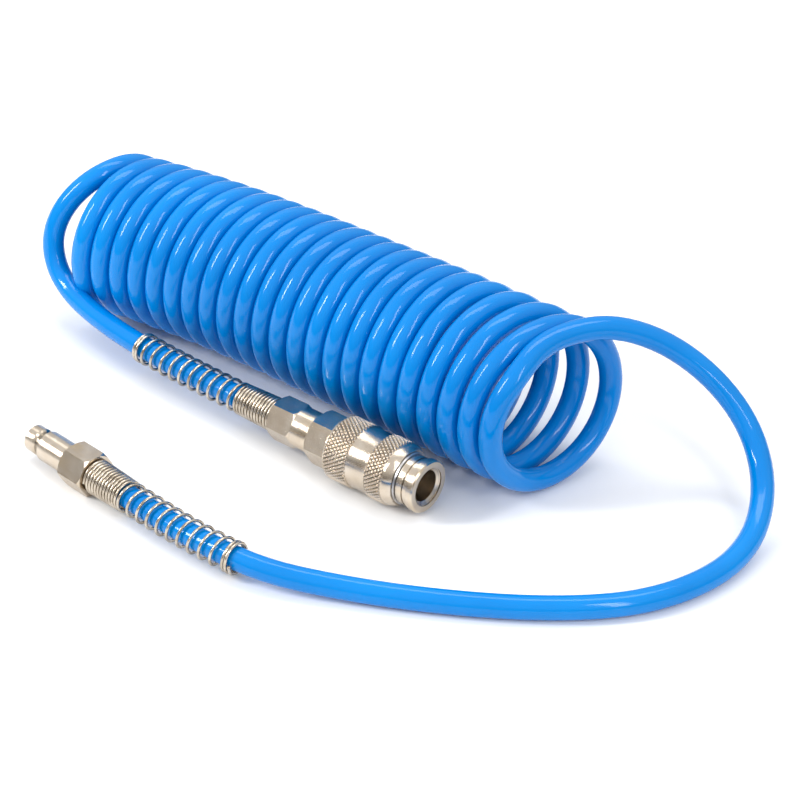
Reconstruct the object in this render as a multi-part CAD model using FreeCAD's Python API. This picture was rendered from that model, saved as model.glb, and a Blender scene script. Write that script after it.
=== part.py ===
"""Coiled polyurethane air hose with a quick-release coupler and a plug.

The hose's coil lies along X on the ground (z = 0). Its coupler lies beside the coil and points
along +X; its plug lies further out and points roughly along -X. Millimetres, +Z up, origin at
the centre of the whole object's footprint.
"""
import FreeCAD
import Part

import math
import os

# ---- Driving dimensions (mm) ----------------------------------------------------------------

# Hose and coil
HOSE_R = 4.0
HOSE_BORE_R = 2.5
COIL_MEAN_R = 27.3
COIL_OUTER_R = COIL_MEAN_R + HOSE_R

# The coil's axis in plan, from its far end to its near end; its height is its outer radius.
COIL_AXIS = [(-133.9, 26.7), (-86.4, 35.1), (31.6, 35.8), (66.1, 31.8)]

# Fittings: where each front face is, and how far it is turned about Z
SLEEVE_R = 11.5
COUPLER_MOUTH = (47.6, -5.7, SLEEVE_R)
PLUG_HEX_FLATS = 14.0
PLUG_TIP = (-76.9, -65.3, PLUG_HEX_FLATS / 2)
PLUG_TURN_DEG = 175.0

# Plug profile, measured back from its tip
STEM_R = 5.5
STEM_END = 20.0
NOSE_R = 4.8
NOSE_END = 4.6
LOCK_GROOVE_R = 4.1
LOCK_GROOVE_END = 8.2
PLUG_SHOULDER_R = 6.9
PLUG_SHOULDER_END = 21.5
PLUG_BORE_R = 3.0

# Coupler socket, measured back from its mouth
LIP_R = 9.35
COLLAR_R = 8.7
BARREL_R = 7.6
SOCKET_R = 5.55
SOCKET_GUIDE_END = 11.2
BALL_CAGE_R = 5.85
SOCKET_END = 15.6
NOSE_BORE_R = 4.9
NOSE_BORE_END = 20.5
WEB_R = 3.6
WEB_END = 22.0
CHAMBER_R = 6.0
BODY_END = 36.8
COUPLER_HEX_FLATS = 17.0
COUPLER_HEX_END = 46.9

# Locking balls
BALL_R = 1.75
BALL_AT = 13.5
BALL_CENTRE_R = 6.05
BALL_LIFT = 1.3
BALL_COUNT = 6

# Sleeve, which slides back by SLEEVE_TRAVEL and so lets the balls rise by BALL_LIFT
SLEEVE_TRAVEL = 3.0
SLEEVE_FRONT = 8.35
SLEEVE_END = 37.0
SLEEVE_LAND_R = BARREL_R + 0.08
SLEEVE_LAND_END = 19.0

# Hose clamp nuts and spring guards
NUT_THREAD_R = 6.4
NUT_FLATS = 14.0
NUT_BORE_R = HOSE_R + 0.1
SPIGOT_LENGTH = 16.4
SPIGOT_WIDE_R = 5.2
SPIGOT_NARROW_R = 4.7
BARB_R = 2.6
BARB_BORE_R = 1.7
BARB_LENGTH = 14.0
GUARD_WIRE_R = 0.55
GUARD_CLOSE_TURNS = 12
GUARD_CLOSE_PITCH = 1.4
GUARD_OPEN_TURNS = 10
GUARD_OPEN_PITCH = 4.75
GUARD_END_TURNS = 2
GUARD_END_PITCH = 1.2

FIT = 0.05

# The hose's free ends, as the corners of their routes. Each starts on the coil and ends in its
# fitting; the last stretch of each is straight through the spring guard.
COUPLER_ROUTE = [
    (-128.4, 28.3, 57.2),
    (-132.9, 17.8, 53.3),
    (-139.4, 10.8, 44.0),
    (-142.2, 6.3, 32.5),
    (-137.9, 3.3, 21.5),
    (-126.9, 0.8, 14.8),
    (-111.9, -2.2, 12.5),
    (-95.9, COUPLER_MOUTH[1], SLEEVE_R),
]
PLUG_ROUTE = [
    (64.9, 28.5, 57.3),
    (69.6, 41.3, 59.8),
    (78.1, 53.8, 58.8),
    (90.6, 66.3, 51.5),
    (104.6, 75.1, 39.2),
    (118.6, 76.3, 26.2),
    (131.1, 67.8, 14.8),
    (139.6, 51.8, 7.0),
    (142.1, 33.3, 4.2),
    (139.1, 14.3, 4.0),
    (131.6, -2.7, 4.0),
    (120.1, -16.7, 4.0),
    (102.6, -31.7, 4.0),
    (78.6, -47.2, 4.0),
    (54.6, -61.0, 4.6),
    (33.1, -74.9, PLUG_HEX_FLATS / 2),
]
ARC_SHARE = 0.45

X_AXIS = FreeCAD.Vector(1, 0, 0)
Z_AXIS = FreeCAD.Vector(0, 0, 1)


def vec(x, y=0.0, z=0.0):
    return FreeCAD.Vector(x, y, z)


# ---- Building blocks ------------------------------------------------------------------------


def turned(profile):
    """A solid of revolution about X. profile is (distance back from the front face, radius)."""
    points = [vec(-back, radius) for back, radius in profile]
    face = Part.Face(Part.makePolygon(points + points[:1]))
    return face.revolve(vec(0), X_AXIS, 360)


def tube(start, end, outer, inner):
    return turned([(start, outer), (end, outer), (end, inner), (start, inner)])


def hexagon(start, end, flats, chamfer):
    """A hexagonal bar along X with a flat underneath, its corners turned down at both ends."""
    corner = flats / math.sqrt(3)
    points = []
    for index in range(7):
        angle = math.radians(60 * index)
        points.append(vec(-start, corner * math.cos(angle), corner * math.sin(angle)))
    bar = Part.Face(Part.makePolygon(points)).extrude(vec(start - end))
    low = corner - chamfer
    outline = [
        (start, 0.0),
        (start, low),
        (start + chamfer, corner + FIT),
        (end - chamfer, corner + FIT),
        (end, low),
        (end, 0.0),
    ]
    return bar.common(turned(outline))


def ring(back, major, minor):
    """A round-section ring about X."""
    return Part.makeTorus(major, minor, vec(-back), X_AXIS)


def swept_wire(edges, radius):
    """Round wire of the given radius along a chain of edges."""
    path = Part.Wire(edges)
    first = path.Edges[0]
    start = first.valueAt(first.FirstParameter)
    along = first.tangentAt(first.FirstParameter)
    section = Part.Wire(Part.makeCircle(radius, start, along))
    return path.makePipeShell([section], True, True)


def helix(back, radius, pitch, turns, end_radius=None):
    """The turns of a helix about X, from back away from the front face, tapering to end_radius."""
    length = pitch * turns
    slope = math.atan(((end_radius or radius) - radius) / length)
    turns_wire = Part.makeLongHelix(pitch, length, radius, math.degrees(slope))
    turns_wire.rotate(vec(0), vec(0, 1, 0), -90)
    turns_wire.translate(vec(-back))
    return turns_wire.Edges


def coil_spring(start, end, radius, wire_radius, turns):
    """A plain compression spring that fills the space from start to end."""
    pitch = (end - start - 2 * wire_radius) / turns
    return swept_wire(helix(start + wire_radius, radius, pitch, turns), wire_radius)


def rounded_path(corners):
    """Straight runs through the corners, joined by tangent arcs as large as the runs allow."""
    points = [vec(*corner) for corner in corners]
    edges = []
    radii = []
    here = points[0]
    for before, corner, after in zip(points, points[1:], points[2:]):
        into = corner - before
        out = after - corner
        half_turn = into.getAngle(out) / 2
        trim = ARC_SHARE * min(into.Length, out.Length)
        radius = trim / math.tan(half_turn)
        into.normalize()
        out.normalize()
        arc_start = corner - into * trim
        arc_end = corner + out * trim
        middle = corner + (out - into).normalize() * (radius / math.cos(half_turn) - radius)
        edges.append(Part.LineSegment(here, arc_start).toShape())
        edges.append(Part.Arc(arc_start, middle, arc_end).toShape())
        radii.append(radius)
        here = arc_end
    edges.append(Part.LineSegment(here, points[-1]).toShape())
    return Part.Wire(edges), radii


def swept_tube(corners, outer, inner, name):
    """A tube along a rounded path, checked against its section times its length."""
    path, radii = rounded_path(corners)
    start = vec(*corners[0])
    along = vec(*corners[1]) - start
    solids = []
    for radius in (outer, inner):
        section = Part.Wire(Part.makeCircle(radius, start, along))
        solids.append(path.makePipeShell([section], True, False))
    result = solids[0].cut(solids[1])
    expected = math.pi * (outer**2 - inner**2) * path.Length
    print(
        name,
        "length %.1f" % path.Length,
        "arc radii",
        ["%.0f" % radius for radius in radii],
        "volume / (section x length) %.4f" % (result.Volume / expected),
    )
    return result


# ---- Hose -----------------------------------------------------------------------------------


def hose_coil():
    """The outer shape of the coil. Half a hose thick, so its material is what the turns hold."""
    corners = [(x, y, COIL_OUTER_R) for x, y in COIL_AXIS]
    return swept_tube(corners, COIL_OUTER_R, COIL_MEAN_R, "hose_coil")


def fitting_point(front, turn_deg, back):
    """A point on a fitting's axis, some way back from its front face."""
    turn = math.radians(turn_deg)
    return (front[0] - back * math.cos(turn), front[1] - back * math.sin(turn), front[2])


def hose_tail(route, front, turn_deg, hose_end, name):
    return swept_tube(route + [fitting_point(front, turn_deg, hose_end)], HOSE_R, HOSE_BORE_R, name)


# ---- Pieces that both fittings share --------------------------------------------------------


def barb(start):
    """The stem inside the hose's end, with three shallow rings that hold it."""
    core_r = HOSE_BORE_R - FIT
    profile = [(start, core_r)]
    ring_pitch = BARB_LENGTH / 4
    for index in range(1, 4):
        back = start + index * ring_pitch
        profile.append((back, BARB_R))
        profile.append((back, core_r))
    profile.append((start + BARB_LENGTH, core_r))
    profile.append((start + BARB_LENGTH, BARB_BORE_R))
    profile.append((start, BARB_BORE_R))
    return turned(profile)


def clamp_nut(start, thread_end, hex_start, end):
    """Union nut: a round barrel, a hexagon, and a tapered spigot that the spring is wound on."""
    hexed = hexagon(hex_start, end, NUT_FLATS, 0.9)
    if hex_start > start:
        hexed = hexed.fuse(turned([
            (start, 0.0),
            (start, 6.9),
            (start + 0.5, 7.3),
            (hex_start, 7.3),
            (hex_start, 0.0),
        ]))
    spigot = turned([
        (end, 0.0),
        (end, SPIGOT_WIDE_R),
        (end + SPIGOT_LENGTH, SPIGOT_NARROW_R),
        (end + SPIGOT_LENGTH, 0.0),
    ])
    bore = turned([
        (start, 0.0),
        (start, NUT_THREAD_R + FIT),
        (thread_end, NUT_THREAD_R + FIT),
        (thread_end + 3.0, NUT_BORE_R),
        (end + SPIGOT_LENGTH, NUT_BORE_R),
        (end + SPIGOT_LENGTH, 0.0),
    ])
    return hexed.fuse(spigot).cut(bore).removeSplitter()


def guard_spring(nut_end):
    """Bend guard of one wire: close-wound and tapered on the nut, then open, with a closed end."""
    wide = SPIGOT_WIDE_R + FIT + GUARD_WIRE_R
    narrow = SPIGOT_NARROW_R + FIT + GUARD_WIRE_R
    close_start = nut_end + GUARD_WIRE_R + FIT
    open_start = close_start + GUARD_CLOSE_TURNS * GUARD_CLOSE_PITCH
    end_start = open_start + GUARD_OPEN_TURNS * GUARD_OPEN_PITCH
    edges = helix(close_start, wide, GUARD_CLOSE_PITCH, GUARD_CLOSE_TURNS, end_radius=narrow)
    edges += helix(open_start, narrow, GUARD_OPEN_PITCH, GUARD_OPEN_TURNS)
    edges += helix(end_start, narrow, GUARD_END_PITCH, GUARD_END_TURNS)
    return swept_wire(edges, GUARD_WIRE_R)


# ---- Coupler --------------------------------------------------------------------------------

COUPLER_NECK_END = 56.5
COUPLER_NUT_START = COUPLER_HEX_END + FIT
COUPLER_NUT_HEX = 55.0
COUPLER_NUT_END = 65.4
COUPLER_HOSE_END = COUPLER_NECK_END + FIT
SPIGOT_START = 32.8
ADAPTER_SEAL_AT = 34.8
ADAPTER_SEAL_R = 0.6
SOCKET_SEAL_AT = 18.1
SOCKET_SEAL_R = 0.9


def ball_angle(index):
    return math.radians(30 + index * 360 / BALL_COUNT)


def coupler_body():
    """The socket: lip, collar, six ball pockets, seal groove, valve seat and valve chamber."""
    seal_floor = NOSE_BORE_R + 2 * SOCKET_SEAL_R - 0.35
    body = turned([
        (0.5, 0.5 + SOCKET_R + 0.8),
        (0.0, SOCKET_R + 1.3),
        (0.0, LIP_R - 0.5),
        (0.5, LIP_R),
        (2.6, LIP_R),
        (3.0, COLLAR_R),
        (4.2, COLLAR_R),
        (4.2, COLLAR_R - 0.35),
        (4.8, COLLAR_R - 0.35),
        (4.8, COLLAR_R),
        (7.2, COLLAR_R),
        (7.2, COLLAR_R - 0.5),
        (8.25, COLLAR_R - 0.5),
        (8.25, COLLAR_R),
        (9.8, COLLAR_R),
        (9.8, BARREL_R),
        (BODY_END, BARREL_R),
        (BODY_END, CHAMBER_R),
        (WEB_END, CHAMBER_R),
        (WEB_END, WEB_R),
        (NOSE_BORE_END, WEB_R),
        (NOSE_BORE_END, NOSE_BORE_R),
        (SOCKET_SEAL_AT + SOCKET_SEAL_R, NOSE_BORE_R),
        (SOCKET_SEAL_AT + SOCKET_SEAL_R, seal_floor),
        (SOCKET_SEAL_AT - SOCKET_SEAL_R, seal_floor),
        (SOCKET_SEAL_AT - SOCKET_SEAL_R, NOSE_BORE_R),
        (SOCKET_END + 0.6, NOSE_BORE_R),
        (SOCKET_END, BALL_CAGE_R),
        (SOCKET_GUIDE_END, BALL_CAGE_R),
        (SOCKET_GUIDE_END, SOCKET_R),
        (1.3, SOCKET_R),
    ])
    for index in range(BALL_COUNT):
        angle = ball_angle(index)
        outward = vec(0, math.cos(angle), math.sin(angle))
        pocket = Part.makeCylinder(BALL_R + FIT, 6.0, vec(-BALL_AT) + outward * 4.6, outward)
        body = body.cut(pocket)
    return body


def locking_ball(index):
    angle = ball_angle(index)
    centre = vec(-BALL_AT, BALL_CENTRE_R * math.cos(angle), BALL_CENTRE_R * math.sin(angle))
    return Part.makeSphere(BALL_R, centre)


def coupler_sleeve():
    """The release sleeve. Its cone rests on the balls and frees them as it slides back."""
    slope = BALL_LIFT / SLEEVE_TRAVEL
    cone_at_ball = BALL_CENTRE_R + BALL_R * math.hypot(1, slope) + FIT
    lip_end = SLEEVE_FRONT + 1.0
    recess_end = lip_end + 0.5
    recess_r = cone_at_ball + slope * (BALL_AT - recess_end)
    land_start = BALL_AT + (cone_at_ball - SLEEVE_LAND_R) / slope
    groove_r = SLEEVE_R - 0.55
    return turned([
        (SLEEVE_FRONT, COLLAR_R + FIT),
        (SLEEVE_FRONT, 9.9),
        (SLEEVE_FRONT + 2.6, SLEEVE_R - 0.4),
        (SLEEVE_FRONT + 3.4, SLEEVE_R - 0.4),
        (SLEEVE_FRONT + 3.8, SLEEVE_R),
        (18.8, SLEEVE_R),
        (19.3, groove_r),
        (26.6, groove_r),
        (27.1, SLEEVE_R),
        (SLEEVE_END - 0.5, SLEEVE_R),
        (SLEEVE_END, SLEEVE_R - 0.5),
        (SLEEVE_END, 10.05),
        (29.5, 10.05),
        (29.0, 9.6),
        (SLEEVE_LAND_END, 9.6),
        (SLEEVE_LAND_END, SLEEVE_LAND_R),
        (land_start, SLEEVE_LAND_R),
        (recess_end, recess_r),
        (lip_end, recess_r),
        (lip_end, COLLAR_R + FIT),
    ])


def sleeve_retaining_ring():
    """Wire ring in the collar's groove, which stops the sleeve from running off the front."""
    return tube(7.4, 8.2, COLLAR_R + 0.55, COLLAR_R - 0.45)


def sleeve_spring():
    return coil_spring(SLEEVE_LAND_END + FIT, BODY_END - FIT, 8.7, 0.55, 6)


def valve_poppet():
    """Four guide fins that the plug pushes, and the disc that closes the seat."""
    disc = turned([(22.7, 0.0), (22.7, 5.5), (24.2, 5.5), (24.2, 2.0), (27.0, 1.6), (27.0, 0.0)])
    hub = turned([(15.9, 0.0), (15.9, 3.1), (16.3, 3.5), (22.7, 3.5), (22.7, 0.0)])
    fins = Part.makeBox(6.8, 7.2, 1.2, vec(-22.7, -3.6, -0.6))
    fins = fins.fuse(Part.makeBox(6.8, 1.2, 7.2, vec(-22.7, -0.6, -3.6)))
    return disc.fuse(hub.common(fins)).removeSplitter()


def valve_seal():
    return tube(22.15, 22.7, 5.4, 3.65)


def valve_spring():
    return coil_spring(24.25, SPIGOT_START - FIT, 4.3, 0.4, 4)


def coupler_adapter():
    """Hexagon with a threaded spigot into the body, the nut's thread and the hose barb."""
    hexed = hexagon(BODY_END, COUPLER_HEX_END, COUPLER_HEX_FLATS, 0.9)
    front = turned([
        (SPIGOT_START, 0.0),
        (SPIGOT_START, CHAMBER_R - FIT),
        (ADAPTER_SEAL_AT - ADAPTER_SEAL_R, CHAMBER_R - FIT),
        (ADAPTER_SEAL_AT - ADAPTER_SEAL_R, CHAMBER_R - 2 * ADAPTER_SEAL_R),
        (ADAPTER_SEAL_AT + ADAPTER_SEAL_R, CHAMBER_R - 2 * ADAPTER_SEAL_R),
        (ADAPTER_SEAL_AT + ADAPTER_SEAL_R, CHAMBER_R - FIT),
        (BODY_END, CHAMBER_R - FIT),
        (BODY_END, 0.0),
    ])
    neck = turned([
        (COUPLER_HEX_END, 0.0),
        (COUPLER_HEX_END, NUT_THREAD_R),
        (COUPLER_NECK_END - 1.0, NUT_THREAD_R),
        (COUPLER_NECK_END, 4.2),
        (COUPLER_NECK_END, 0.0),
    ])
    bore = turned([
        (SPIGOT_START, 0.0),
        (SPIGOT_START, 3.5),
        (50.0, 3.5),
        (52.0, BARB_BORE_R),
        (COUPLER_NECK_END, BARB_BORE_R),
        (COUPLER_NECK_END, 0.0),
    ])
    solid = hexed.fuse(front).fuse(neck).cut(bore).fuse(barb(COUPLER_NECK_END))
    return solid.removeSplitter()


# ---- Plug -----------------------------------------------------------------------------------

PLUG_NUT_START = PLUG_SHOULDER_END + FIT
PLUG_NUT_END = 33.0
PLUG_NECK_END = 29.5
PLUG_HOSE_END = PLUG_NECK_END + FIT


def plug_body():
    """Nose, locking groove and stem of the plug, with the nut's thread and the hose barb."""
    outside = turned([
        (0.0, PLUG_BORE_R),
        (0.0, NOSE_R - 0.8),
        (0.8, NOSE_R),
        (NOSE_END, NOSE_R),
        (NOSE_END + 0.8, LOCK_GROOVE_R),
        (LOCK_GROOVE_END - 1.2, LOCK_GROOVE_R),
        (LOCK_GROOVE_END, STEM_R),
        (STEM_END, STEM_R),
        (PLUG_SHOULDER_END, PLUG_SHOULDER_R),
        (PLUG_SHOULDER_END, NUT_THREAD_R),
        (PLUG_NECK_END - 1.0, NUT_THREAD_R),
        (PLUG_NECK_END, 4.2),
        (PLUG_NECK_END, BARB_BORE_R),
        (PLUG_NECK_END - 3.0, BARB_BORE_R),
        (PLUG_NECK_END - 5.0, PLUG_BORE_R),
    ])
    return outside.fuse(barb(PLUG_NECK_END)).removeSplitter()


# ---- Assembly -------------------------------------------------------------------------------


def placed(shape, front, turn_deg):
    shape = shape.copy()
    shape.Placement = FreeCAD.Placement(vec(*front), FreeCAD.Rotation(Z_AXIS, turn_deg))
    return shape


def on_coupler(shape):
    return placed(shape, COUPLER_MOUTH, 0.0)


def on_plug(shape):
    return placed(shape, PLUG_TIP, PLUG_TURN_DEG)


def build_parts():
    coupler_nut = clamp_nut(
        COUPLER_NUT_START, COUPLER_NECK_END, COUPLER_NUT_HEX, COUPLER_NUT_END
    )
    plug_nut = clamp_nut(PLUG_NUT_START, PLUG_NECK_END - 1.0, PLUG_NUT_START, PLUG_NUT_END)
    parts = {
        "hose_coil": hose_coil(),
        "hose_tail_coupler": hose_tail(
            COUPLER_ROUTE, COUPLER_MOUTH, 0.0, COUPLER_HOSE_END, "hose_tail_coupler"
        ),
        "hose_tail_plug": hose_tail(
            PLUG_ROUTE, PLUG_TIP, PLUG_TURN_DEG, PLUG_HOSE_END, "hose_tail_plug"
        ),
        "coupler_body": on_coupler(coupler_body()),
        "coupler_sleeve": on_coupler(coupler_sleeve()),
        "sleeve_retaining_ring": on_coupler(sleeve_retaining_ring()),
        "sleeve_spring": on_coupler(sleeve_spring()),
        "socket_seal": on_coupler(ring(SOCKET_SEAL_AT, NOSE_BORE_R + 0.5, SOCKET_SEAL_R)),
        "valve_poppet": on_coupler(valve_poppet()),
        "valve_seal": on_coupler(valve_seal()),
        "valve_spring": on_coupler(valve_spring()),
        "coupler_adapter": on_coupler(coupler_adapter()),
        "adapter_seal": on_coupler(
            ring(ADAPTER_SEAL_AT, CHAMBER_R - ADAPTER_SEAL_R, ADAPTER_SEAL_R)
        ),
        "coupler_clamp_nut": on_coupler(coupler_nut),
        "coupler_guard_spring": on_coupler(guard_spring(COUPLER_NUT_END)),
        "plug_body": on_plug(plug_body()),
        "plug_clamp_nut": on_plug(plug_nut),
        "plug_guard_spring": on_plug(guard_spring(PLUG_NUT_END)),
    }
    for index in range(BALL_COUNT):
        parts["locking_ball_%d" % (index + 1)] = on_coupler(locking_ball(index))
    return parts


os.makedirs("parts", exist_ok=True)
whole = FreeCAD.BoundBox()
for part_name, part_shape in build_parts().items():
    part_shape.exportStep("parts/%s.step" % part_name)
    box = part_shape.optimalBoundingBox()
    whole.add(box)
    state = "ok" if part_shape.isValid() and len(part_shape.Solids) == 1 else "BAD"
    print(
        part_name,
        state,
        "%.0f mm3" % part_shape.Volume,
        "box (%.2f, %.2f, %.2f) to (%.2f, %.2f, %.2f)"
        % (box.XMin, box.YMin, box.ZMin, box.XMax, box.YMax, box.ZMax),
    )
print("whole x %.3f %.3f" % (whole.XMin, whole.XMax))
print("whole y %.3f %.3f" % (whole.YMin, whole.YMax))
print("whole z %.3f %.3f" % (whole.ZMin, whole.ZMax))
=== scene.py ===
"""Looks for the coiled air hose: one smooth hose, its bend guards, a knurled sleeve and finishes.

The object's sizes and places are in millimetres, in the CAD's own frame: +Z up, the coil along X,
the floor at z = 0. metres() and MM turn them into metres. CAMERA_SEES_TO, the floor
and the lights are in metres to begin with.
"""
import math

import bmesh
import bpy
from mathutils import Matrix, Vector


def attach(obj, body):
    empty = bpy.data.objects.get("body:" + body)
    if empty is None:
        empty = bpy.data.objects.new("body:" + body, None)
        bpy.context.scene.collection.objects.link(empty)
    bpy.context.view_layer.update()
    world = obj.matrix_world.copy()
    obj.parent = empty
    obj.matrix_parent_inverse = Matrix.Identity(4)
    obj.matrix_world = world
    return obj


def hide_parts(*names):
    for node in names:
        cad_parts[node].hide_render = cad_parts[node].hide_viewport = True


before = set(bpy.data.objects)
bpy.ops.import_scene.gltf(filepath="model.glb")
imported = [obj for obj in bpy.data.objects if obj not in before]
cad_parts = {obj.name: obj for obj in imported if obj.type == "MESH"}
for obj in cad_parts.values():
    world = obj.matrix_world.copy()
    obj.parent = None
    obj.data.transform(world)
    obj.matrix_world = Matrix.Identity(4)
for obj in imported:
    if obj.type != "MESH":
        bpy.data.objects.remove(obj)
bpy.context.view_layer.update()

MM = 0.001


def metres(x, y, z):
    return Vector((x, y, z)) * MM


# ---- Camera ---------------------------------------------------------------------------------

CAMERA_AT = metres(463.8, -543.4, 472.3)
CAMERA_AZIMUTH = math.radians(38.593)
CAMERA_ELEVATION = math.radians(32.14)
CAMERA_ROLL = math.radians(1.482)
CAMERA_SENSOR_WIDTH = 36.0
CAMERA_LENS = 112.16
CAMERA_SEES_TO = 10.0


def add_camera():
    back = Vector((
        math.sin(CAMERA_AZIMUTH) * math.cos(CAMERA_ELEVATION),
        -math.cos(CAMERA_AZIMUTH) * math.cos(CAMERA_ELEVATION),
        math.sin(CAMERA_ELEVATION),
    ))
    level_right = Vector((0, 0, 1)).cross(back).normalized()
    level_up = back.cross(level_right)
    right = level_right * math.cos(CAMERA_ROLL) + level_up * math.sin(CAMERA_ROLL)
    up = back.cross(right)
    data = bpy.data.cameras.new("camera")
    data.sensor_width = CAMERA_SENSOR_WIDTH
    data.lens = CAMERA_LENS
    data.clip_end = CAMERA_SEES_TO
    camera = bpy.data.objects.new("camera", data)
    turned = Matrix((right, up, back)).transposed().to_4x4()
    camera.matrix_world = Matrix.Translation(CAMERA_AT) @ turned
    bpy.context.collection.objects.link(camera)
    bpy.context.scene.camera = camera


# ---- Hose: sizes and route (mm) -------------------------------------------------------------

HOSE_R = 4.0
HOSE_STEPS = 5
HOSE_BEVEL_STEPS = 6

COUPLER_MOUTH = (47.6, -5.7, 11.5)
COUPLER_NUT_END = 65.4
COUPLER_HOSE_END = 56.55
PLUG_TIP = (-76.9, -65.3, 7.0)
PLUG_TURN = math.radians(175.0)
PLUG_NUT_END = 33.0
PLUG_HOSE_END = 29.55

# From the plug to the near end of the coil, after the point inside the plug's nut
PLUG_ROUTE = [
    (-22.4, -70.4, 7.0),
    (3.6, -72.6, 7.0),
    (31.6, -71.6, 6.6),
    (54.6, -60.4, 4.7),
    (78.6, -47.2, 4.0),
    (102.6, -31.7, 4.0),
    (120.1, -16.7, 4.0),
    (131.6, -2.7, 4.0),
    (139.1, 14.3, 4.0),
    (142.1, 33.3, 4.2),
    (139.6, 51.8, 7.0),
    (131.1, 67.8, 14.8),
    (118.6, 76.3, 26.2),
    (104.6, 75.1, 39.2),
    (90.6, 66.3, 51.5),
    (78.1, 53.8, 58.8),
    (69.6, 41.3, 59.4),
    (64.9, 28.5, 57.3),
]

# From the far end of the coil to the coupler, before the point inside its nut
COUPLER_ROUTE = [
    (-132.6, 17.8, 53.3),
    (-138.4, 10.8, 44.0),
    (-140.8, 6.3, 32.5),
    (-136.9, 4.3, 21.5),
    (-126.9, 2.0, 15.6),
    (-111.9, -0.8, 13.2),
    (-92.0, -3.3, 11.9),
    (-66.0, -5.0, 11.5),
    (-38.0, -5.7, 11.5),
]

COIL_TURNS = 23
POINTS_PER_TURN = 16
COIL_PITCH = 8.26
COIL_NEAR_END = (61.6, 36.3)
COIL_MEAN_R = 26.8
COIL_TAPER_PER_TURN = 0.64 / 12

# The coil's axis is straight from its near end as far as COIL_BOW_X, and curves beyond it.
COIL_BOW_X = -100.0
COIL_BOW_UNIT = 100.0
COIL_BOW_SLOPE = -0.45
COIL_BOW_SQUARE = -5.25
COIL_BOW_CUBE = 4.8

# The near turns fan out: those past FAN_FROM_TURN, most at the back and least at the front.
FAN_FROM_TURN = 18.25
FAN_TURNS = 4
FAN_POWER = 1.5
FAN_REACH = 15.4
FAN_ALL_ROUND = 0.55
FAN_FRONT_TO_BACK = 0.45

# Points are counted from the top of the near turn; the plug's route replaces the first two.
COIL_FIRST_POINT = 2

# A quadratic spline runs inside its control polygon by this much on a circle.
POLYGON_TO_CURVE = 0.75 + 0.25 * math.cos(2 * math.pi / POINTS_PER_TURN)


def coil_axis_y(x):
    """The coil lies in a slight bow: how far its axis is from straight, x mm from its near end."""
    s = (x - COIL_BOW_X) / COIL_BOW_UNIT
    if s < 0:
        return COIL_BOW_SQUARE * s**2 + COIL_BOW_CUBE * s**3
    return COIL_BOW_SLOPE * s


def coil_points():
    """Control points of the coil, from the near end, where its turns fan out, to the far end."""
    points = []
    middle_turn = (COIL_TURNS - 1) / 2
    for index in range(COIL_FIRST_POINT, COIL_TURNS * POINTS_PER_TURN + 1):
        turn = COIL_TURNS - index / POINTS_PER_TURN
        angle = 2 * math.pi * index / POINTS_PER_TURN
        mean_r = COIL_MEAN_R + COIL_TAPER_PER_TURN * (turn - middle_turn)
        control_r = mean_r / POLYGON_TO_CURVE
        open_up = max(0.0, (turn - FAN_FROM_TURN) / FAN_TURNS) ** FAN_POWER
        fan = FAN_REACH * open_up * (FAN_ALL_ROUND - FAN_FRONT_TO_BACK * math.sin(angle))
        x = (turn - COIL_TURNS) * COIL_PITCH + fan
        y = coil_axis_y(x) - control_r * math.sin(angle)
        z = HOSE_R + mean_r + control_r * math.cos(angle)
        points.append((COIL_NEAR_END[0] + x, COIL_NEAR_END[1] + y, z))
    return points


def fitting_point(front, turn, back):
    """A point on a fitting's axis, back mm behind its front face."""
    return (front[0] - back * math.cos(turn), front[1] - back * math.sin(turn), front[2])


def hose_route():
    """Control points of the whole hose, from inside the plug's nut to inside the coupler's."""
    plug_end = fitting_point(PLUG_TIP, PLUG_TURN, PLUG_HOSE_END)
    coupler_end = fitting_point(COUPLER_MOUTH, 0.0, COUPLER_HOSE_END)
    return [plug_end] + PLUG_ROUTE + coil_points() + COUPLER_ROUTE + [coupler_end]


def smooth_curve(name, points, resolution):
    """A NURBS curve object through one open spline with these control points, in millimetres."""
    data = bpy.data.curves.new(name, "CURVE")
    data.dimensions = "3D"
    data.resolution_u = resolution
    spline = data.splines.new("NURBS")
    spline.points.add(len(points) - 1)
    for point, place in zip(spline.points, points):
        point.co = (*(metres(*place)), 1.0)
    spline.order_u = 3
    spline.use_endpoint_u = True
    piece = bpy.data.objects.new(name, data)
    bpy.context.collection.objects.link(piece)
    return piece


def line_points(curve):
    """The points along a curve that has no bevel, in metres."""
    mesh = bpy.data.meshes.new_from_object(curve)
    points = [vertex.co.copy() for vertex in mesh.vertices]
    bpy.data.meshes.remove(mesh)
    return points


# ---- Bend guards ----------------------------------------------------------------------------

WIRE_R = 0.55
WIRE_STEPS = 3
WIRE_BEVEL_STEPS = 3
SPIGOT_WIDE_R = 5.2
SPIGOT_NARROW_R = 4.7
GUARD_GAP = 0.05
GUARD_WIDE_R = SPIGOT_WIDE_R + GUARD_GAP + WIRE_R
GUARD_NARROW_R = SPIGOT_NARROW_R + GUARD_GAP + WIRE_R

# (turns, pitch, radius at the nut's end, radius at the far end): close-wound, open, closed end
GUARD_SECTIONS = [
    (12, 1.4, GUARD_WIDE_R, GUARD_NARROW_R),
    (10, 4.75, GUARD_NARROW_R, GUARD_NARROW_R),
    (2, 1.2, GUARD_NARROW_R, GUARD_NARROW_R),
]
GUARD_POINTS_PER_TURN = 14


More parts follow.
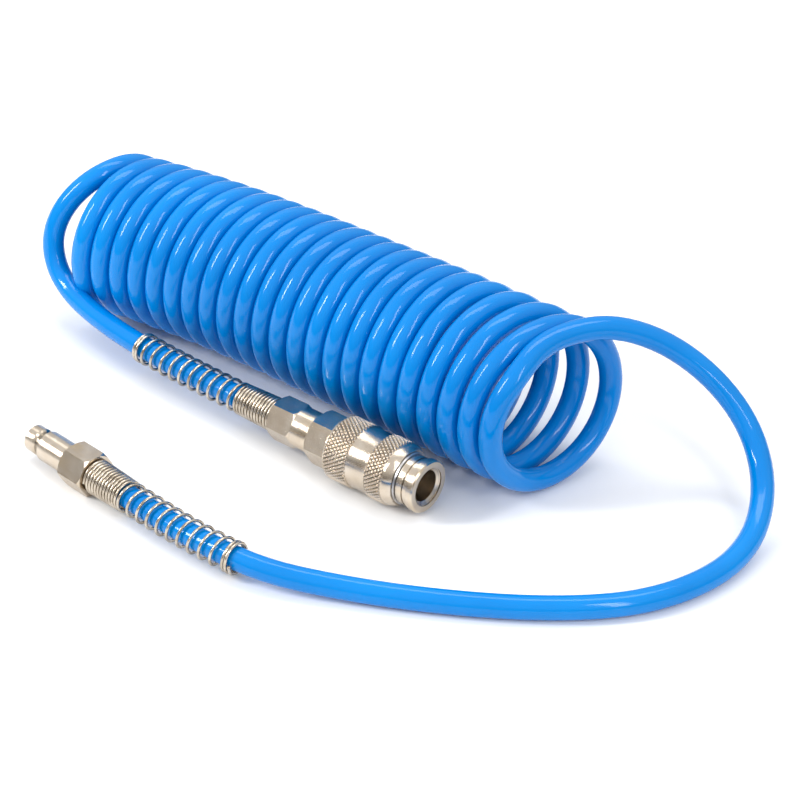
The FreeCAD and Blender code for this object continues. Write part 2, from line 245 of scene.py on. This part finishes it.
def guard_helix():
    """(distance along the hose, angle, radius) from the nut outwards, in mm and radians."""
    steps = []
    along = WIRE_R + GUARD_GAP
    turned = 0.0
    for turns, pitch, start_r, end_r in GUARD_SECTIONS:
        count = turns * GUARD_POINTS_PER_TURN
        for index in range(count):
            share = index / count
            steps.append((
                along + share * turns * pitch,
                turned + share * turns * 2 * math.pi,
                start_r + (end_r - start_r) * share,
            ))
        along += turns * pitch
        turned += turns * 2 * math.pi
    steps.append((along, turned, GUARD_NARROW_R))
    return steps


def walk(points, distance):
    """The place and direction at a distance in metres along a chain of points."""
    for here, there in zip(points, points[1:]):
        step = (there - here).length
        if distance <= step:
            return here.lerp(there, distance / step), (there - here).normalized()
        distance -= step
    return points[-1], (points[-1] - points[-2]).normalized()


def guard_spring(name, points, nut_end, node):
    """The wire of a bend guard, wound round the hose's own line from the nut outwards."""
    places = []
    for along, angle, radius in guard_helix():
        centre, direction = walk(points, nut_end * MM + along * MM)
        side = direction.cross(Vector((0, 0, 1))).normalized()
        up = side.cross(direction)
        around = side * math.cos(angle) + up * math.sin(angle)
        places.append((centre + around * radius * MM) / MM)
    curve = smooth_curve(name + "_line", places, WIRE_STEPS)
    curve.data.bevel_depth = WIRE_R * MM
    curve.data.bevel_resolution = WIRE_BEVEL_STEPS
    curve.data.use_fill_caps = True
    piece = bpy.data.objects.new(name, bpy.data.meshes.new_from_object(curve))
    bpy.context.collection.objects.link(piece)
    bpy.data.objects.remove(curve)
    piece.data.shade_smooth()
    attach(piece, "hose")
    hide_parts(node)
    return piece


# ---- Knurled sleeve -------------------------------------------------------------------------

SLEEVE_R = 11.5
KNURL_DEPTH = 0.5
KNURL_COUNT = 48
KNURL_LEAD = 2.1
GROOVE_SHARE = 0.55
SAMPLES_PER_DIAMOND = 10
KNURL_STEP = 0.16
KNURL_MARGIN = 0.15
SLEEVE_CREASE = math.radians(32)

# (back from the coupler's mouth, radius); the two knurled stretches are added between these.
SLEEVE_FRONT_OUTLINE = [(8.35, 8.75), (8.35, 9.75), (8.55, 9.95), (10.95, 11.1), (11.75, 11.1)]
SLEEVE_WAIST_OUTLINE = [(19.25, 10.95), (19.45, 10.9), (26.45, 10.9), (26.65, 10.95)]
SLEEVE_INNER_OUTLINE = [
    (37.0, 10.9),
    (37.0, 10.05),
    (29.5, 10.05),
    (29.0, 9.6),
    (19.0, 9.6),
    (19.0, 7.68),
    (14.2, 7.68),
    (9.85, 9.55),
    (9.35, 9.55),
    (9.35, 8.75),
]
KNURL_BANDS = [(12.15, 18.8), (27.1, 36.5)]


def knurl_rows(start, end):
    """Rows of a knurled stretch: its ends are turned down, and the rest carries the diamonds."""
    rows = [(start, SLEEVE_R - KNURL_DEPTH, False)]
    count = round((end - start) / KNURL_STEP)
    first = start + KNURL_MARGIN
    length = end - start - 2 * KNURL_MARGIN
    for index in range(count + 1):
        rows.append((first + length * index / count, SLEEVE_R, True))
    rows.append((end, SLEEVE_R - KNURL_DEPTH, False))
    return rows


def knurl_depth(back, angle):
    """How deep the knurl is cut here: two crossing sets of V grooves leave small pyramids."""
    depth = 0.0
    for hand in (-1, 1):
        phase = (KNURL_COUNT * angle / (2 * math.pi) + hand * back / KNURL_LEAD) % 1.0
        from_groove = min(phase, 1.0 - phase) * 2
        depth = max(depth, 1.0 - min(1.0, from_groove / GROOVE_SHARE))
    return KNURL_DEPTH * depth


def sleeve_rows():
    """(back from the mouth, radius, whether it is knurled) all round the sleeve's section."""
    rows = [(back, radius, False) for back, radius in SLEEVE_FRONT_OUTLINE]
    rows += knurl_rows(*KNURL_BANDS[0])
    rows += [(back, radius, False) for back, radius in SLEEVE_WAIST_OUTLINE]
    rows += knurl_rows(*KNURL_BANDS[1])
    rows += [(back, radius, False) for back, radius in SLEEVE_INNER_OUTLINE]
    return rows


def knurled_sleeve():
    """The release sleeve, turned about the coupler's axis, with its two knurled bands cut in."""
    around = KNURL_COUNT * SAMPLES_PER_DIAMOND
    mouth = metres(*COUPLER_MOUTH)
    made = bmesh.new()
    rings = []
    for back, radius, knurled in sleeve_rows():
        ring = []
        for index in range(around):
            angle = 2 * math.pi * index / around
            r = radius - (knurl_depth(back, angle) if knurled else 0.0)
            place = metres(-back, r * math.cos(angle), r * math.sin(angle))
            ring.append(made.verts.new(mouth + place))
        rings.append(ring)
    for ring, after in zip(rings, rings[1:] + rings[:1]):
        for index in range(around):
            along = (index + 1) % around
            made.faces.new((ring[index], ring[along], after[along], after[index]))
    bmesh.ops.recalc_face_normals(made, faces=made.faces)
    piece = mesh_piece("knurled_release_sleeve", made, SLEEVE_CREASE)
    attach(piece, "release_sleeve")
    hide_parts("coupler_sleeve")
    return piece


def mesh_piece(name, made, crease):
    """A smooth-shaded mesh object, with the edges that turn by more than crease kept sharp."""
    for face in made.faces:
        face.smooth = True
    for edge in made.edges:
        edge.smooth = edge.calc_face_angle(0.0) < crease
    mesh = bpy.data.meshes.new(name)
    made.to_mesh(mesh)
    made.free()
    piece = bpy.data.objects.new(name, mesh)
    bpy.context.collection.objects.link(piece)
    return piece


# ---- Materials ------------------------------------------------------------------------------

# A Mix node has a set of sockets for each kind of data; these are the ones for colours.
MIX_COLOUR_A = 6
MIX_COLOUR_B = 7
MIX_COLOUR_RESULT = 2


class Finish:
    """A node material under construction, with the few node patterns that the finishes share."""

    def __init__(self, name, turn=0.0, **sockets):
        self.material = bpy.data.materials.new(name)
        self.material.use_nodes = True
        self.tree = self.material.node_tree
        self.shader = self.tree.nodes["Principled BSDF"]
        for socket, value in sockets.items():
            self.shader.inputs[socket.replace("_", " ")].default_value = value
        place = self.tree.nodes.new("ShaderNodeTexCoord")
        turned = self.tree.nodes.new("ShaderNodeMapping")
        turned.inputs["Rotation"].default_value[2] = -turn
        self.link(place.outputs["Object"], turned.inputs["Vector"])
        self.place = turned.outputs["Vector"]
        self.height = None

    def link(self, source, target):
        self.tree.links.new(source, target)

    def noise(self, scale, detail=4.0, stretch=(1, 1, 1)):
        squeeze = self.tree.nodes.new("ShaderNodeMapping")
        squeeze.inputs["Scale"].default_value = stretch
        self.link(self.place, squeeze.inputs["Vector"])
        node = self.tree.nodes.new("ShaderNodeTexNoise")
        node.inputs["Scale"].default_value = scale
        node.inputs["Detail"].default_value = detail
        self.link(squeeze.outputs["Vector"], node.inputs["Vector"])
        return node.outputs["Fac"]

    def rings(self, scale, distortion=0.4):
        """Fine turning marks round the X axis."""
        node = self.tree.nodes.new("ShaderNodeTexWave")
        node.bands_direction = "X"
        node.inputs["Scale"].default_value = scale
        node.inputs["Distortion"].default_value = distortion
        node.inputs["Detail"].default_value = 3.0
        self.link(self.place, node.inputs["Vector"])
        return node.outputs["Fac"]

    def ramp(self, source, stops):
        node = self.tree.nodes.new("ShaderNodeValToRGB")
        elements = node.color_ramp.elements
        while len(elements) < len(stops):
            elements.new(0.5)
        for element, (place, colour) in zip(elements, stops):
            element.position = place
            element.color = colour if len(colour) == 4 else (*colour, 1.0)
        self.link(source, node.inputs["Fac"])
        return node.outputs["Color"]

    def span(self, source, low, high):
        """The source, 0 to 1, spread over low to high."""
        node = self.tree.nodes.new("ShaderNodeMapRange")
        node.inputs["To Min"].default_value = low
        node.inputs["To Max"].default_value = high
        self.link(source, node.inputs["Value"])
        return node.outputs["Result"]

    def blend(self, share, first, second):
        node = self.tree.nodes.new("ShaderNodeMix")
        node.data_type = "RGBA"
        self.link(share, node.inputs["Factor"])
        self.link(first, node.inputs[MIX_COLOUR_A])
        self.link(second, node.inputs[MIX_COLOUR_B])
        return node.outputs[MIX_COLOUR_RESULT]

    def edges(self, low, high):
        """Pointiness spread from low (0) to high (1): edges are above 0.5, and grooves below."""
        node = self.tree.nodes.new("ShaderNodeNewGeometry")
        spread = self.tree.nodes.new("ShaderNodeMapRange")
        spread.inputs["From Min"].default_value = low
        spread.inputs["From Max"].default_value = high
        self.link(node.outputs["Pointiness"], spread.inputs["Value"])
        return spread.outputs["Result"]

    def colour(self, source):
        self.link(source, self.shader.inputs["Base Color"])

    def rough(self, source):
        self.link(source, self.shader.inputs["Roughness"])

    def bump(self, source, depth, strength=1.0):
        node = self.tree.nodes.new("ShaderNodeBump")
        node.inputs["Distance"].default_value = depth
        node.inputs["Strength"].default_value = strength
        self.link(source, node.inputs["Height"])
        if self.height is not None:
            self.link(self.height, node.inputs["Normal"])
        self.height = node.outputs["Normal"]
        self.link(self.height, self.shader.inputs["Normal"])


def hose_finish():
    """Glossy polyurethane: slow colour drift, faint handling haze and a slight surface ripple."""
    made = Finish("blue_polyurethane", IOR=1.46, Specular_IOR_Level=0.32)
    made.colour(made.ramp(made.noise(22, 3.0), [
        (0.30, (0.000, 0.185, 0.560)),
        (0.55, (0.000, 0.215, 0.630)),
        (0.75, (0.001, 0.240, 0.680)),
    ]))
    made.rough(made.span(made.noise(130, 6.0), 0.06, 0.15))
    made.bump(made.noise(90, 2.0), 0.0003, 0.35)
    made.bump(made.noise(900, 4.0), 0.00003, 0.5)
    return made.material


def nickel_finish(name, turn=0.0):
    """Nickel plate on turned brass: turning marks, light stains, brass showing at worn edges, and
    painted shade darkening the grooves and hollows.
    """
    made = Finish(name, turn, Metallic=1.0, Anisotropic=0.25)
    plate = made.ramp(made.noise(160, 5.0), [
        (0.30, (0.560, 0.470, 0.365)),
        (0.50, (0.620, 0.530, 0.425)),
        (0.72, (0.680, 0.600, 0.500)),
    ])
    brass = made.ramp(made.noise(420, 3.0), [
        (0.35, (0.560, 0.400, 0.190)),
        (0.70, (0.740, 0.560, 0.300)),
    ])
    # Painted shade: a near-black colour for grooves and hollows, standing in for the shadow that
    # falls there.
    groove_shade = made.ramp(made.noise(800, 3.0), [
        (0.35, (0.060, 0.045, 0.030)),
        (0.70, (0.120, 0.095, 0.065)),
    ])
    plate_and_wear = made.blend(made.edges(0.56, 0.72), plate, brass)
    # Where pointiness is low, in grooves and hollows, the painted shade colour replaces the plate.
    made.colour(made.blend(made.edges(0.49, 0.42), plate_and_wear, groove_shade))
    made.rough(made.span(made.noise(900, 5.0, (0.2, 1, 1)), 0.13, 0.24))
    made.bump(made.rings(1500), 0.00003, 0.5)
    made.bump(made.noise(1800, 5.0), 0.00002, 0.5)
    return made.material


def bare_brass_finish():
    made = Finish("bare_brass", Metallic=1.0)
    made.colour(made.ramp(made.noise(350, 5.0), [
        (0.30, (0.400, 0.250, 0.070)),
        (0.55, (0.600, 0.410, 0.150)),
        (0.75, (0.700, 0.500, 0.210)),
    ]))
    made.rough(made.span(made.noise(500, 5.0), 0.25, 0.5))
    made.bump(made.rings(1800), 0.00003, 0.6)
    return made.material


def wire_finish(name, dark, light, low, high):
    """Drawn wire: fine drawing marks, small spots of tarnish and an uneven polish."""
    made = Finish(name, Metallic=1.0, Anisotropic=0.3)
    made.colour(made.ramp(made.noise(260, 6.0), [(0.32, dark), (0.62, light)]))
    made.rough(made.span(made.noise(700, 5.0), low, high))
    made.bump(made.noise(2600, 4.0), 0.00002, 0.6)
    return made.material


def ball_finish():
    made = Finish("hardened_steel_ball", Metallic=1.0)
    made.colour(made.ramp(made.noise(900, 4.0), [
        (0.35, (0.52, 0.52, 0.54)),
        (0.65, (0.72, 0.72, 0.74)),
    ]))
    made.rough(made.span(made.noise(1500, 5.0), 0.06, 0.2))
    return made.material


def rubber_finish():
    made = Finish("nitrile_rubber", IOR=1.5)
    made.colour(made.ramp(made.noise(700, 5.0), [
        (0.35, (0.010, 0.010, 0.011)),
        (0.70, (0.030, 0.030, 0.032)),
    ]))
    made.rough(made.span(made.noise(1100, 5.0), 0.45, 0.7))
    made.bump(made.noise(2400, 4.0), 0.00003, 0.7)
    return made.material


def paint(piece, material):
    slots = piece.material_slots
    if slots:
        for slot in slots:
            slot.material = material
    else:
        piece.data.materials.append(material)


# ---- Stage ----------------------------------------------------------------------------------

FLOOR_SIZE = 6.0
FLOOR_GAP = 0.0002

# (name, place in metres, size in metres, power in watts); each light looks at the object
LIGHTS = [
    ("key", (-0.62, -0.76, 0.66), (0.14, 0.5), 7.5),
    ("top", (-0.1, 0.25, 1.0), (0.9, 0.3), 3.6),
    ("side", (0.75, -0.25, 0.55), (0.12, 0.6), 2.4),
]
LIGHTS_LOOK_AT = (0, 0, 0.02)
SKY_LOW = (0.16, 0.15, 0.14, 1.0)
SKY_HIGH = (0.95, 0.96, 0.98, 1.0)
SKY_HIGH_FROM = 0.55


def add_floor():
    made = bmesh.new()
    bmesh.ops.create_grid(made, x_segments=1, y_segments=1, size=FLOOR_SIZE)
    floor = mesh_piece("floor", made, math.radians(30))
    floor.location.z = -FLOOR_GAP
    finish = Finish("pale_floor", Roughness=0.85)
    finish.shader.inputs["Specular IOR Level"].default_value = 0.1
    finish.colour(finish.ramp(finish.noise(3, 2.0), [
        (0.3, (0.90, 0.90, 0.90)),
        (0.7, (0.92, 0.92, 0.92)),
    ]))
    paint(floor, finish.material)


def add_area_light(name, place, size, power):
    data = bpy.data.lights.new(name, "AREA")
    data.shape = "RECTANGLE"
    data.size, data.size_y = size
    data.energy = power
    light = bpy.data.objects.new(name, data)
    light.location = place
    towards = Vector(LIGHTS_LOOK_AT) - Vector(place)
    light.rotation_euler = towards.to_track_quat("-Z", "Y").to_euler()
    bpy.context.collection.objects.link(light)


def add_sky():
    """A studio surround that is bright above and darker low down, so that metal has contrast."""
    world = bpy.data.worlds.new("studio")
    world.use_nodes = True
    tree = world.node_tree
    direction = tree.nodes.new("ShaderNodeTexCoord")
    split = tree.nodes.new("ShaderNodeSeparateXYZ")
    sky = tree.nodes.new("ShaderNodeValToRGB")
    low, high = sky.color_ramp.elements
    low.color = SKY_LOW
    high.position = SKY_HIGH_FROM
    high.color = SKY_HIGH
    tree.links.new(direction.outputs["Generated"], split.inputs["Vector"])
    tree.links.new(split.outputs["Z"], sky.inputs["Fac"])
    tree.links.new(sky.outputs["Color"], tree.nodes["Background"].inputs["Color"])
    bpy.context.scene.world = world


# ---- Build ----------------------------------------------------------------------------------

add_camera()

hose = smooth_curve("hose", hose_route(), HOSE_STEPS)
hose_line = line_points(hose)
hose.data.bevel_depth = HOSE_R * MM
hose.data.bevel_resolution = HOSE_BEVEL_STEPS
hose.data.use_fill_caps = True
paint(hose, hose_finish())
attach(hose, "hose")
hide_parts("hose_coil", "hose_tail_coupler", "hose_tail_plug")

wire = wire_finish("plated_spring_wire", (0.36, 0.30, 0.23), (0.64, 0.57, 0.47), 0.15, 0.32)
plug_guard = guard_spring(
    "plug_bend_guard", hose_line, PLUG_NUT_END - PLUG_HOSE_END, "plug_guard_spring"
)
coupler_guard = guard_spring(
    "coupler_bend_guard", hose_line[::-1], COUPLER_NUT_END - COUPLER_HOSE_END, "coupler_guard_spring"
)
paint(plug_guard, wire)
paint(coupler_guard, wire)

sleeve = knurled_sleeve()
nickel = nickel_finish("nickel_plated_brass")
nickel_on_plug = nickel_finish("nickel_plated_brass_on_plug", PLUG_TURN)
paint(sleeve, nickel)

ON_COUPLER = ["coupler_body", "coupler_adapter", "coupler_clamp_nut"]
ON_PLUG = ["plug_body", "plug_clamp_nut"]
INNER_SPRINGS = ["sleeve_spring", "valve_spring", "sleeve_retaining_ring"]
SEALS = ["socket_seal", "valve_seal", "adapter_seal"]
BALLS = ["locking_ball_%d" % number for number in range(1, 7)]

stainless = wire_finish("stainless_spring_steel", (0.42, 0.42, 0.43), (0.66, 0.66, 0.67), 0.2, 0.4)
NODE_FINISHES = [
    (ON_COUPLER, nickel),
    (ON_PLUG, nickel_on_plug),
    (INNER_SPRINGS, stainless),
    (SEALS, rubber_finish()),
    (BALLS, ball_finish()),
    (["valve_poppet"], bare_brass_finish()),
]
for nodes, finish in NODE_FINISHES:
    for node in nodes:
        paint(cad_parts[node], finish)

add_floor()
add_sky()
for light in LIGHTS:
    add_area_light(*light)
bpy.context.scene.view_settings.view_transform = "Standard"
